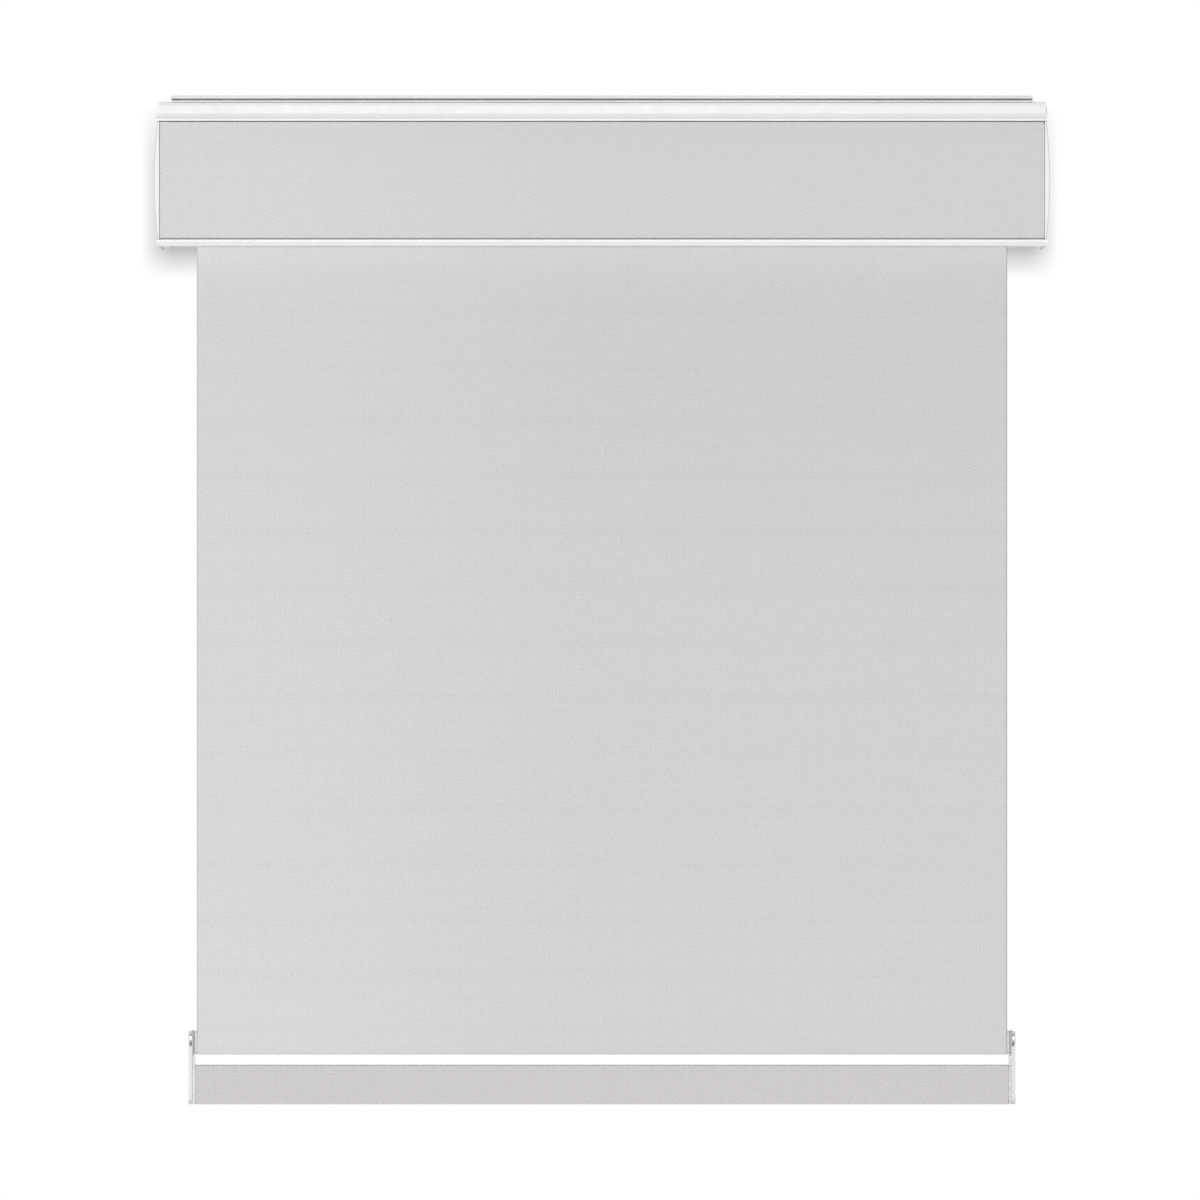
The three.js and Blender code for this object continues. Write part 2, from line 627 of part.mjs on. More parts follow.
const RAIL_MIDDLE = (RAIL_TOP + RAIL_FOOT) / 2;
const RAIL_CORNER = 0.9;
const COVER = 0.3;
const ARM_OUTER = ARM_WIDTH / 2;
const ARM_PLATE = ARM_OUTER - 2.8;
const ARM_TOP = HEM_TOP + 0.6;
const ARM_NECK = 6.4;
const ARM_CORNER = 4;
const SEAT_WALL = 0.9;
const NECK_TOP = PANEL_FOOT - FIT;
const ARM_GROOVE = 4;
const ARM_INNER_UPPER = WASHER_X + WASHER_WALL + FIT;
const ARM_INNER_LOWER = RAIL_WIDTH / 2 + FIT;

function railCover() {
  const half = RAIL_WIDTH / 2;
  const outline = rounded(HANG_FRONT, RAIL_MIDDLE, RAIL_DEPTH, RAIL_HEIGHT, RAIL_CORNER, 5);
  const inside = rounded(HANG_FRONT, RAIL_MIDDLE,
    RAIL_DEPTH - 2 * COVER, RAIL_HEIGHT - 2 * COVER, RAIL_CORNER - COVER, 5);
  return alongX(outline, -half, half, [inside]);
}

function bottomRail() {
  const half = RAIL_WIDTH / 2;
  const skin = 2 * (COVER + FIT);
  const outline = rounded(HANG_FRONT, RAIL_MIDDLE,
    RAIL_DEPTH - skin, RAIL_HEIGHT - skin, RAIL_CORNER - skin / 2, 2);
  const inside = rounded(HANG_FRONT, RAIL_MIDDLE,
    RAIL_DEPTH - skin - 2.4, RAIL_HEIGHT - skin - 2.4, 0.4, 2);
  return alongX(outline, -half, half, [inside]);
}

function weightBar() {
  return alongX(rounded(HANG_FRONT, RAIL_MIDDLE - 5, 6, 12, 1), -300, 300);
}

// The arm's outline from the rail's top round its foot, from back to front
function armFoot(half) {
  const corner = half - ARM_CORNER;
  return [
    [HANG_FRONT - half, RAIL_TOP],
    ...arc(HANG_FRONT - corner, RAIL_FOOT + ARM_CORNER, ARM_CORNER, 180, 270, 4),
    ...arc(HANG_FRONT + corner, RAIL_FOOT + ARM_CORNER, ARM_CORNER, 270, 360, 4),
    [HANG_FRONT + half, RAIL_TOP],
  ];
}

// The end cap of the bottom rail: a spigot in the rail, a seat over its end, and an arm that
// reaches up past the slot to the hem bar. The arm's wider outer leaf stops below the pin's head,
// and leaves a groove between itself and the seat.
function railEndCap(side) {
  const head = arc(HANG_FRONT, ARM_TOP - ARM_NECK, ARM_NECK, 0, 180, 12);
  const arm = alongX(
    [...head, ...armFoot(ARM_DEPTH / 2 - ARM_GROOVE)],
    side * ARM_INNER_UPPER, side * (ARM_PLATE + 0.1));
  const leafTop = PIN_UP - PIN_HEAD_RADIUS - FIT;
  const shoulders = [[HANG_FRONT + ARM_NECK, leafTop], [HANG_FRONT - ARM_NECK, leafTop]];
  const leaf = alongX(
    [...shoulders, ...armFoot(ARM_DEPTH / 2)], side * ARM_PLATE, side * ARM_OUTER);
  const seat = alongX(
    rounded(HANG_FRONT, RAIL_MIDDLE, RAIL_DEPTH - 0.4, RAIL_HEIGHT - 0.4, RAIL_CORNER),
    side * ARM_INNER_LOWER, side * (ARM_INNER_LOWER + SEAT_WALL));
  const neck = alongX(
    rounded(HANG_FRONT, (NECK_TOP + RAIL_FOOT + 1) / 2,
      ARM_DEPTH - 2 * ARM_GROOVE, NECK_TOP - RAIL_FOOT - 1, 0.5, 2),
    side * (ARM_INNER_LOWER + 0.1), side * (ARM_INNER_UPPER + 0.5));
  const spigot = alongX(rounded(HANG_FRONT, RAIL_MIDDLE, 9, 26, 2),
    side * (ARM_INNER_LOWER - 14), side * (ARM_INNER_LOWER + 0.5));
  const screwHole = [
    [ARM_INNER_LOWER - 15, 0], [ARM_INNER_LOWER - 15, 1.8], [ARM_OUTER - 2.6, 1.8],
    [ARM_OUTER - 0.3, 4.1], [ARM_OUTER + 1, 4.1], [ARM_OUTER + 1, 0],
  ];
  return cut(
    joined(arm, leaf, seat, neck, spigot),
    pinHole(side, ARM_INNER_UPPER - 1, ARM_OUTER + 1),
    turned(mirrored(screwHole, side), HANG_FRONT, RAIL_MIDDLE, 16));
}

function railCapPin(side) {
  const head = ARM_PLATE + 0.1 + FIT;
  const loop = [
    [HEM_BAR_END + 1, 0], [HEM_BAR_END + 1, PIN_RADIUS], [head, PIN_RADIUS],
    [head, PIN_HEAD_RADIUS], [ARM_OUTER - 0.7, PIN_HEAD_RADIUS],
    [ARM_OUTER, PIN_HEAD_RADIUS - 0.9], [ARM_OUTER, 0],
  ];
  return turned(mirrored(loop, side), HANG_FRONT, PIN_UP, 24);
}

const RECESS_HALF = 1.9;
const RECESS_WALL = 0.8;
const RECESS_DEPTH = 1.3;

// A countersunk screw with a cross recess in its head
function railCapScrew(side) {
  const loop = [
    [ARM_INNER_LOWER - 11, 0], [ARM_INNER_LOWER - 10, 1.4], [ARM_OUTER - 2.6, 1.4],
    [ARM_OUTER - 0.4, 3.6], [ARM_OUTER - 0.1, 3.6], [ARM_OUTER - 0.1, 0],
  ];
  const recess = [[RECESS_HALF, RECESS_WALL / 2], [RECESS_WALL / 2, RECESS_HALF]];
  const cross = recess.map(([deep, high]) => alongX(
    rectangle(HANG_FRONT - deep, HANG_FRONT + deep, RAIL_MIDDLE - high, RAIL_MIDDLE + high),
    side * (ARM_OUTER - RECESS_DEPTH), side * (ARM_OUTER + 1)));
  return cut(turned(mirrored(loop, side), HANG_FRONT, RAIL_MIDDLE, 16), ...cross);
}

// ---- Assembly --------------------------------------------------------------------------

function cassette() {
  const group = new THREE.Group();
  place(group, 'mounting_rail', mountingRail(), 'bare_aluminium');
  for (const [name, x] of CLIPS) place(group, `mounting_clip_${name}`, mountingClip(x), 'steel');
  place(group, 'head_profile', headProfile(), 'white_aluminium');
  place(group, 'fascia', fascia(), 'white_aluminium');
  place(group, 'fascia_insert', fasciaInsert(), 'fabric');
  for (const [name, side] of SIDES) {
    place(group, `end_cap_${name}`, endCap(side), 'white_plastic');
    place(group, `end_bracket_${name}`, endBracket(side), 'steel');
    for (const [level, rise] of BRACKET_SCREWS) {
      place(group, `bracket_screw_${name}_${level}`, bracketScrew(side, rise), 'steel');
    }
  }
  place(group, 'spring_shaft', springShaft(), 'steel');
  place(group, 'spring_anchor', springAnchor(), 'grey_plastic');
  place(group, 'shaft_retainer', shaftRetainer(), 'steel');
  place(group, 'idle_pin', idlePin(), 'steel');
  place(group, 'idle_pin_spring', idlePinSpring(), 'steel');
  return group;
}

function roller() {
  const group = new THREE.Group();
  place(group, 'roller_tube', rollerTube(), 'bare_aluminium');
  place(group, 'fixing_strip', fixingStrip(), 'grey_plastic');
  place(group, 'fabric_roll', fabricRoll(), 'fabric');
  place(group, 'torsion_spring', torsionSpring(), 'steel');
  place(group, 'spring_drive_plug', springDrivePlug(), 'grey_plastic');
  place(group, 'spring_end_plug', springEndPlug(), 'grey_plastic');
  place(group, 'idle_plug', idlePlug(), 'grey_plastic');
  return group;
}

function bottom() {
  const group = new THREE.Group();
  place(group, 'fabric_panel', fabricPanel(), 'fabric');
  place(group, 'hem_pocket', hemPocket(), 'fabric');
  place(group, 'hem_bar', hemBar(), 'bare_aluminium');
  place(group, 'bottom_rail_cover', railCover(), 'fabric');
  place(group, 'bottom_rail', bottomRail(), 'bare_aluminium');
  place(group, 'weight_bar', weightBar(), 'steel');
  for (const [name, side] of SIDES) {
    place(group, `hem_plug_${name}`, hemPlug(side), 'frosted_plastic');
    place(group, `hem_washer_${name}`, hemWasher(side), 'dark_rubber');
    place(group, `rail_end_cap_${name}`, railEndCap(side), 'frosted_plastic');
    place(group, `rail_cap_pin_${name}`, railCapPin(side), 'steel');
    place(group, `rail_cap_screw_${name}`, railCapScrew(side), 'steel');
  }
  return group;
}

const blind = new THREE.Group();
blind.add(cassette(), roller(), bottom());

export default blind;
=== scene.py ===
"""A cordless cassette roller blind on a white wall. Metres, in the CAD frame: the wall is the plane
y = 0, the blind stands in front of it at negative y, and +Z is up."""

import json
import math

import bmesh
import bpy
from mathutils import Matrix, Vector


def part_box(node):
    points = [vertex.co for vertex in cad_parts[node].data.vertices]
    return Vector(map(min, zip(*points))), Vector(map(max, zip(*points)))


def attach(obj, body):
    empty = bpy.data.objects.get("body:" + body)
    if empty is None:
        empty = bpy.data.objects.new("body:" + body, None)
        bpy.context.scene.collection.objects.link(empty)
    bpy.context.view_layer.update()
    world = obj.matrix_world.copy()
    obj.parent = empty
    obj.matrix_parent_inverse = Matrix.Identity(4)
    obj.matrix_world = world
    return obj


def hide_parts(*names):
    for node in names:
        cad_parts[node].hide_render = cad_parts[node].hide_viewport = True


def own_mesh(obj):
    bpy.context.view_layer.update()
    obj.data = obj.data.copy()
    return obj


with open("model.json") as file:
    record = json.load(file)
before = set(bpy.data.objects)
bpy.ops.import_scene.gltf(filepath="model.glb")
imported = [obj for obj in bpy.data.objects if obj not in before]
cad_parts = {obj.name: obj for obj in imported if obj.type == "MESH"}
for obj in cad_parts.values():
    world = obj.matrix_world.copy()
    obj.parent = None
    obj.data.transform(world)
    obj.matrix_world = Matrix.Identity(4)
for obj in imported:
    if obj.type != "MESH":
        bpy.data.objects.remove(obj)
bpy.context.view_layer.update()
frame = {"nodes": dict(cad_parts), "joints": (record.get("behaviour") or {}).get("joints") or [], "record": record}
nodes = frame["nodes"]

MM = 0.001



def rounded_box(node):
    """The low and high corners of a CAD node's box, to the micrometre."""
    return [[round(value, 6) for value in corner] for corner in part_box(node)]


# Sizes from the CAD model. A place in a section across X is (front, up), front counted from the wall
joints = {joint["name"]: joint for joint in frame["joints"]}
AXIS = (-joints["roller_spin"]["pos_m"][1], joints["roller_spin"]["pos_m"][2])
(_, panel_face, _), (FABRIC_HALF, panel_back, _) = rounded_box("fabric_panel")
(_, _, HEM_FOOT), (_, _, HEM_TOP) = rounded_box("hem_pocket")
PANEL_FRONT = -(panel_face + panel_back) / 2  # middle of the hanging cloth
CLOTH = 0.6 * MM

# Weaves, as thread pitches across (X) and along the cloth
PANEL_THREADS = (0.975 * MM, 1.54 * MM)
INSERT_THREADS = (1.055 * MM, 1.75 * MM)
CREASE_PITCH = 44.4 * MM
CREASE_SHADE_REACH = 7 * MM            # how far from a crease the cloth is painted darker, as shade along it
LEFT_LIGHT_END = 20 * MM               # the X where the paler, cooler left side, painted as more light from the left, ends
CUT_EDGE_SHADE = (0.9 * MM, 0.7 * MM)  # the cut edges are painted darker, as shade, between these distances from the end

SHARP = math.radians(50)         # edges sharper than this aren't smoothed over


# ---- Material graphs -------------------------------------------------------------------


class Graph:
    """A material and short calls that add nodes to it."""

    def __init__(self, name, base, roughness, metallic=0.0):
        self.material = bpy.data.materials.new(name)
        self.material.use_nodes = True
        self.tree = self.material.node_tree
        self.shader = self.tree.nodes["Principled BSDF"]
        self.base = base
        self.set("Base Color", (*base, 1.0))
        self.set("Roughness", roughness)
        self.set("Metallic", metallic)
        self.object_coord = self.add("TexCoord").outputs["Object"]

    def add(self, kind, **settings):
        node = self.tree.nodes.new("ShaderNode" + kind)
        for key, value in settings.items():
            setattr(node, key, value)
        return node

    def feed(self, socket, value):
        if isinstance(value, bpy.types.NodeSocket):
            self.tree.links.new(value, socket)
        else:
            socket.default_value = value

    def set(self, name, value):
        self.feed(self.shader.inputs[name], value)

    def math(self, operation, *values):
        node = self.add("Math", operation=operation)
        for socket, value in zip(node.inputs, values):
            self.feed(socket, value)
        return node.outputs[0]

    def remap(self, value, low, high, to_low, to_high, kind="LINEAR"):
        node = self.add("MapRange", interpolation_type=kind)
        for socket, item in zip(node.inputs, (value, low, high, to_low, to_high)):
            self.feed(socket, item)
        return node.outputs["Result"]

    def axis(self, name):
        node = self.add("SeparateXYZ")
        self.feed(node.inputs[0], self.object_coord)
        return node.outputs[name]

    def noise(self, scale, detail=2.0, roughness=0.5):
        """Noise from 0 to 1. scale is cycles in a metre, one number or one for each axis."""
        mapping = self.add("Mapping")
        self.feed(mapping.inputs["Vector"], self.object_coord)
        scales = (scale, scale, scale) if isinstance(scale, (int, float)) else scale
        mapping.inputs["Scale"].default_value = scales
        node = self.add("TexNoise")
        self.feed(node.inputs["Vector"], mapping.outputs[0])
        node.inputs["Scale"].default_value = 1.0
        node.inputs["Detail"].default_value = detail
        node.inputs["Roughness"].default_value = roughness
        return node.outputs[0]

    def drift(self, value, low, high, first):
        """Lets the base colour drift from another one, first, to the usual one as value rises."""
        node = self.add("Mix", data_type="RGBA")
        self.feed(node.inputs[0], self.remap(value, low, high, 0.0, 1.0, "SMOOTHSTEP"))
        node.inputs[6].default_value = (*first, 1.0)
        node.inputs[7].default_value = (*self.base, 1.0)
        self.base = node.outputs[2]

    def tint(self, *factors):
        """Multiplies the base colour by each factor."""
        total = factors[0]
        for factor in factors[1:]:
            total = self.math("MULTIPLY", total, factor)
        scale = self.add("VectorMath", operation="SCALE")
        self.feed(scale.inputs[0], self.base)
        self.feed(scale.inputs["Scale"], total)
        self.set("Base Color", scale.outputs[0])

    def bump(self, height, distance, strength=1.0, rounded=0.0):
        """Fine relief. rounded is the radius that sharp edges are shaded with."""
        node = self.add("Bump")
        node.inputs["Strength"].default_value = strength
        node.inputs["Distance"].default_value = distance
        self.feed(node.inputs["Height"], height)
        if rounded:
            edges = self.add("Bevel", samples=8)
            edges.inputs["Radius"].default_value = rounded
            self.feed(node.inputs["Normal"], edges.outputs[0])
        self.set("Normal", node.outputs[0])

    def dust_and_top_shade(self, amount):
        """Darkens what faces up, a factor just under 1: a thin film of dust, and in larger amounts painted shade
        on the up-facing faces.
        """
        normal = self.add("SeparateXYZ")
        self.feed(normal.inputs[0], self.add("NewGeometry").outputs["Normal"])
        facing = self.remap(normal.outputs["Z"], 0.5, 1.0, 0.0, 1.0, "SMOOTHSTEP")
        patches = self.remap(self.noise(35, 4), 0.35, 0.7, 0.4, 1.0)
        film = self.math("MULTIPLY", facing, patches)
        return self.remap(film, 0.0, 1.0, 1.0, 1.0 - amount)


def coated_aluminium(name, base, dust_and_top_shade=0.06):
    """Satin powder coat: a faint orange peel and slightly uneven gloss."""
    g = Graph(name, base, 0.42)
    # up-facing faces darker: dust, and with a large amount, painted shade
    g.tint(g.remap(g.noise(9, 3), 0.3, 0.7, 0.99, 1.01), g.dust_and_top_shade(dust_and_top_shade))
    g.set("Roughness", g.remap(g.noise(260, 3), 0.3, 0.7, 0.37, 0.47))
    g.set("Specular IOR Level", 0.35)
    g.bump(g.noise(850, 2), 0.05 * MM, 0.5)
    return g.material


def drawn_aluminium(name, base):
    """Clear anodised extrusion: long fine lines along X."""
    g = Graph(name, base, 0.55, 0.4)
    lines = g.noise((3, 2600, 2600), 3, 0.7)
    clouds = g.noise(14, 3)
    g.tint(g.remap(lines, 0.3, 0.7, 0.93, 1.05), g.remap(clouds, 0.3, 0.7, 0.97, 1.02), g.dust_and_top_shade(0.1))
    g.set("Roughness", g.remap(lines, 0.3, 0.7, 0.49, 0.63))
    g.bump(lines, 0.03 * MM, 0.4)
    return g.material


def moulded_plastic(name, base, roughness, grain=1600, rounded=0.0):
    """Injection moulding with a fine spark-eroded texture. grain is its cycles in a metre."""
    g = Graph(name, base, roughness)
    g.tint(g.remap(g.noise(22, 3), 0.3, 0.7, 0.985, 1.01), g.dust_and_top_shade(0.05))
    texture = g.noise(grain, 2, 0.6)
    g.set("Roughness", g.remap(texture, 0.3, 0.7, roughness - 0.05, roughness + 0.07))
    g.bump(texture, 0.04 * MM, 0.6, rounded)
    return g.material


def rubber(name, base):
    g = Graph(name, base, 0.78)
    g.tint(g.remap(g.noise(120, 4), 0.3, 0.7, 0.9, 1.08))
    g.set("Specular IOR Level", 0.3)
    g.bump(g.noise(2200, 3, 0.7), 0.06 * MM, 0.7)
    return g.material


def steel(name, base, roughness, scratches=0.5, metallic=1.0):
    """Plated or drawn steel with faint cloudy plating and hairline marks."""
    g = Graph(name, base, roughness, metallic)
    marks = g.noise((180, 3800, 700), 3, 0.7)
    g.tint(g.remap(g.noise(70, 4), 0.3, 0.7, 0.92, 1.05), g.remap(marks, 0.3, 0.7, 0.97, 1.02))
    g.set("Roughness", g.remap(marks, 0.3, 0.7, roughness * 0.8, roughness * 1.25))
    g.bump(marks, 0.02 * MM, scratches)
    return g.material


def woven(name, base, threads, contrast, run=None, creases=0.0, edge=None, painted_left_light=None):
    """Plain weave of fine and coarse threads: every second crossing shows the darker weft. The
    place along the cloth is the mesh's run attribute, or the height where run isn't named. edge has
    the factors of the shade painted on the left and right cut edges, the right one darker as if lit
    from the left. The colour given for the left side is painted paler and cooler, as light falling
    more from the left, and the amount given for creases is painted shade along each crease."""
    g = Graph(name, base, 0.9)
    across, along = threads
    x = g.axis("X")
    if run:
        place = g.add("Attribute", attribute_name=run).outputs["Fac"]
    else:
        place = g.math("MULTIPLY", g.axis("Z"), -1.0)
    wander = g.remap(g.noise((55, 55, 160), 2), 0.0, 1.0, -0.2 * MM, 0.2 * MM)
    u = g.math("MULTIPLY", g.math("ADD", x, wander), math.pi / across)
    v = g.math("MULTIPLY", g.math("ADD", place, wander), math.pi / along)
    warp = g.math("SINE", u)
    weft = g.math("SINE", v)
    crossing = g.math("MULTIPLY", warp, weft)
    over = g.remap(crossing, -0.35, 0.35, 1.0 - contrast, 1.0 + contrast, "SMOOTHSTEP")
    hump = g.math("MULTIPLY", g.math("ABSOLUTE", warp), g.math("ABSOLUTE", weft))
    # painted shade in the dips between the threads
    gap = g.remap(hump, 0.0, 0.35, 0.86, 1.0, "SMOOTHSTEP")
    fibre = g.remap(g.noise((2600, 2600, 5200), 3, 0.7), 0.3, 0.7, 0.97, 1.03)
    slub = g.remap(g.noise((11, 11, 380), 3), 0.3, 0.7, 0.992, 1.008)
    streak = g.remap(g.noise((520, 14, 5), 3), 0.3, 0.7, 0.994, 1.006)
    factors = [over, gap, fibre, slub, streak]
    # painted shade along each crease
    if creases:
        from_crease = g.math("PINGPONG", g.math("SUBTRACT", place, -HEM_TOP), CREASE_PITCH / 2)
        factors.append(g.remap(from_crease, 0.0, CREASE_SHADE_REACH, 1.0 - creases, 1.0, "SMOOTHSTEP"))
    # painted light: the left side paler and cooler, as if lit more from the left
    if painted_left_light:
        g.drift(x, -FABRIC_HALF, LEFT_LIGHT_END, painted_left_light)
    # painted shade on the cut edges, the right one darker as if lit from the left
    if edge:
        left, right = edge
        inner, outer = FABRIC_HALF - CUT_EDGE_SHADE[0], FABRIC_HALF - CUT_EDGE_SHADE[1]
        factors.append(g.remap(x, inner, outer, 1.0, right, "SMOOTHSTEP"))
        factors.append(g.remap(x, -outer, -inner, left, 1.0, "SMOOTHSTEP"))
    g.tint(*factors)
    height = g.math("ADD", g.math("SQRT", hump), g.math("MULTIPLY", crossing, 0.3))
    g.bump(height, 0.18 * MM, 0.5)
    g.set("Specular IOR Level", 0.2)
    g.set("Sheen Weight", 0.12)
    g.set("Sheen Roughness", 0.5)
    return g.material


# factors of the shade painted on the left and right cut edges
EDGE_SHADE = (0.84, 0.72)
PANEL = (0.622, 0.609, 0.607)
# the left side's colour, painted paler and cooler as light falling from the left
PANEL_LEFT_LIGHT = (0.662, 0.650, 0.658)
finishes = {
    "white_coated_aluminium": coated_aluminium("white_coat", (0.76, 0.76, 0.757)),
    "mill_aluminium": drawn_aluminium("anodised_aluminium", (0.50, 0.50, 0.50)),
    "white_plastic": moulded_plastic("white_plastic", (0.72, 0.72, 0.715), 0.45, rounded=1.5 * MM),
    "frosted_plastic": moulded_plastic("frosted_plastic", (0.555, 0.565, 0.555), 0.42, 900),
    "grey_plastic": moulded_plastic("grey_plastic", (0.30, 0.31, 0.32), 0.5),
    "dark_rubber": rubber("dark_rubber", (0.42, 0.42, 0.40)),
    "plated_steel": steel("plated_steel", (0.62, 0.63, 0.64), 0.32),
    "polished_steel": steel("polished_steel", (0.60, 0.60, 0.585), 0.42, 0.3, 0.6),
    "spring_steel": steel("spring_steel", (0.40, 0.41, 0.43), 0.35),
    "insert_fabric": woven(
        "insert_weave", (0.638, 0.630, 0.632), INSERT_THREADS, 0.088, painted_left_light=(0.675, 0.664, 0.674)),
    "panel_fabric": woven(
        "panel_weave", PANEL, PANEL_THREADS, 0.082, creases=0.012, edge=EDGE_SHADE, painted_left_light=PANEL_LEFT_LIGHT),
    "cover_fabric": woven("cover_weave", (0.585, 0.570, 0.565), PANEL_THREADS, 0.15, run="run"),
}
hem_weave = woven(
    "hem_weave", PANEL, PANEL_THREADS, 0.082, run="run", edge=EDGE_SHADE, painted_left_light=PANEL_LEFT_LIGHT)
# The head profile's coat is a darker copy of the white coat, with heavy darkening on up-facing faces: painted
# shade on the band at the cassette's top
shaded_band_coat = coated_aluminium("shaded_band_coat", (0.725, 0.725, 0.72), dust_and_top_shade=0.25)


# ---- Pieces ----------------------------------------------------------------------------


def piece(name, mesh, body, slot, replaced=(), material=None):
    obj = bpy.data.objects.new(name, mesh)
    bpy.context.scene.collection.objects.link(obj)
    mesh.materials.append(material or finishes[slot])
    mesh.shade_smooth()
    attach(obj, body)
    if replaced:
        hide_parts(*replaced)
    return obj


def mesh_of(name, verts, faces, runs=None):
    mesh = bpy.data.meshes.new(name)
    mesh.from_pydata(verts, [], faces)
    if runs:
        mesh.attributes.new("run", "FLOAT", "POINT").data.foreach_set("value", runs)
    work = bmesh.new()
    work.from_mesh(mesh)
    bmesh.ops.recalc_face_normals(work, faces=work.faces)
    for edge in work.edges:
        edge.smooth = edge.calc_face_angle(0.0) < SHARP
    work.to_mesh(mesh)
    work.free()
    return mesh


def arc(front, up, radius, start, end, steps):
    """Points from start to end degrees about (front, up)."""
    angles = [math.radians(start + (end - start) * i / steps) for i in range(steps + 1)]
    return [(front + radius * math.cos(a), up + radius * math.sin(a)) for a in angles]


def mixed(a, b, t):
    return a + (b - a) * t


def eased(t):
    t = min(max(t, 0.0), 1.0)
    return t * t * (3 - 2 * t)


def stations(half, spacing):
    """Places across the cloth, closer together near its two cut edges."""
    near = [0.0, 0.2 * MM, 0.5 * MM, 1.0 * MM, 2.0 * MM, 4.0 * MM, 8.0 * MM, 16.0 * MM]
    inner = half - near[-1]
    count = max(2, round(2 * inner / spacing))
    middle = [mixed(-inner, inner, i / count) for i in range(1, count)]
    return [d - half for d in near] + middle + [half - d for d in reversed(near)]


def cloth(name, path, half, thickness=CLOTH, wave=None, spacing=0.02, start=0.0):
    """Cloth along an open path of (front, up) points, from one cut edge to the other in X. It has
    two skins, half the thickness to each side of the path, closed along its four edges. wave(x, up)
    moves it out of the path. The run attribute is the distance along the path."""
    xs = stations(half, spacing)
    last = len(path) - 1
    normals = []
    for i in range(len(path)):
        before, after = path[max(i - 1, 0)], path[min(i + 1, last)]
        tangent = Vector((after[0] - before[0], after[1] - before[1])).normalized()
        normals.append((-tangent.y, tangent.x))
    runs = [start]
    for a, b in zip(path, path[1:]):
        runs.append(runs[-1] + math.dist(a, b))

    verts, values = [], []
    for side in (1, -1):
        for (front, up), (across, rise), run in zip(path, normals, runs):
            for x in xs:
                inset = half - abs(x)
                thin = 0.35 + 0.65 * min(1.0, inset / (0.5 * MM)) ** 0.5
                offset = side * thickness / 2 * thin
                offset += wave(x, up) if wave else 0.0
                verts.append((x, -(front + across * offset), up + rise * offset))
                values.append(run)

    width, rows = len(xs), len(path)
    back = width * rows
    faces = []
    for r in range(last):
        for c in range(width - 1):
            a = r * width + c
            faces.append((a, a + 1, a + width + 1, a + width))
            faces.append((back + a, back + a + width, back + a + width + 1, back + a + 1))
        for a in (r * width, r * width + width - 1):
            faces.append((a, a + width, back + a + width, back + a))
    for r in (0, last):
        for c in range(width - 1):
            a = r * width + c
            faces.append((a, a + 1, back + a + 1, back + a))
    return mesh_of(name, verts, faces, values)


def wire(name, path, radius, sides=8):
    """A round wire along a path of points."""
    verts, faces = [], []
    last = len(path) - 1
    for i, point in enumerate(path):
        ahead = (path[min(i + 1, last)] - path[max(i - 1, 0)]).normalized()
        first = ahead.cross(Vector((1, 0, 0))).normalized()
        second = ahead.cross(first)
        for k in range(sides):
            a = 2 * math.pi * k / sides
            verts.append(point + radius * (math.cos(a) * first + math.sin(a) * second))
    for i in range(last):
        for k in range(sides):
            a, b = i * sides + k, i * sides + (k + 1) % sides
            faces.append((a, b, b + sides, a + sides))
    faces.append(tuple(range(sides)))
    faces.append(tuple(last * sides + k for k in range(sides)))
    return mesh_of(name, verts, faces)


def spring_path(x0, x1, radius, turns, closed_turns=0.0):
    """A helix about the roller's axis, its end turns lying close together."""
    points = []
    steps = round(turns * 24)
    for i in range(steps + 1):
        turn = turns * i / steps
        open_share = (turn - closed_turns) / (turns - 2 * closed_turns)
        squeeze = 0.06 * min(turn, turns - turn, closed_turns)
        t = eased(open_share) if closed_turns else turn / turns
        t = mixed(squeeze, 1 - squeeze, t) if closed_turns else t
        angle = 2 * math.pi * turn
        points.append(Vector((
            mixed(x0, x1, t),
            -AXIS[0] + radius * math.cos(angle),
            AXIS[1] + radius * math.sin(angle))))
    return points


# ---- Cloth -----------------------------------------------------------------------------


WAVE = 0.22 * MM                 # how far each kind of unevenness moves the cloth
RIPPLE = 0.10 * MM
CREASE = 0.07 * MM
CREASE_WIDTH = 4 * MM
CURL = 0.35 * MM
CURL_WIDTH = 3 * MM


def panel_wave(x, up):
    """Slight unevenness of hanging cloth: broad waves, pressed creases, edges that curl back."""
    from_top = (AXIS[1] - up) / (AXIS[1] - HEM_TOP)
    settle = math.sin(math.pi * min(max(from_top, 0.0), 1.0)) ** 0.5
    broad = WAVE * math.sin(x * 19 + 0.6) * math.cos(up * 7.5 + 1.1)
    broad += RIPPLE * math.sin(x * 43 - up * 11)
    along = (up - HEM_TOP) / CREASE_PITCH
    from_crease = (along - round(along)) * CREASE_PITCH
    crease = -CREASE * math.exp(-(from_crease / CREASE_WIDTH) ** 2)
    curl = -CURL * eased((abs(x) - FABRIC_HALF + CURL_WIDTH) / CURL_WIDTH) ** 2
    return (broad + crease) * settle + curl


def spaced(start, end, step):
    count = math.ceil(abs(end - start) / step)
    return [mixed(start, end, i / count) for i in range(count + 1)]


PANEL_FOOT = HEM_TOP - 0.2 * MM   # the panel runs a little way into the pocket
panel_path = [(PANEL_FRONT, up) for up in spaced(AXIS[1], PANEL_FOOT, 3 * MM)]
panel = piece(
    "fabric_panel_cloth", cloth("panel", panel_path, FABRIC_HALF, wave=panel_wave),
    "headrail", "panel_fabric", ["fabric_panel"])

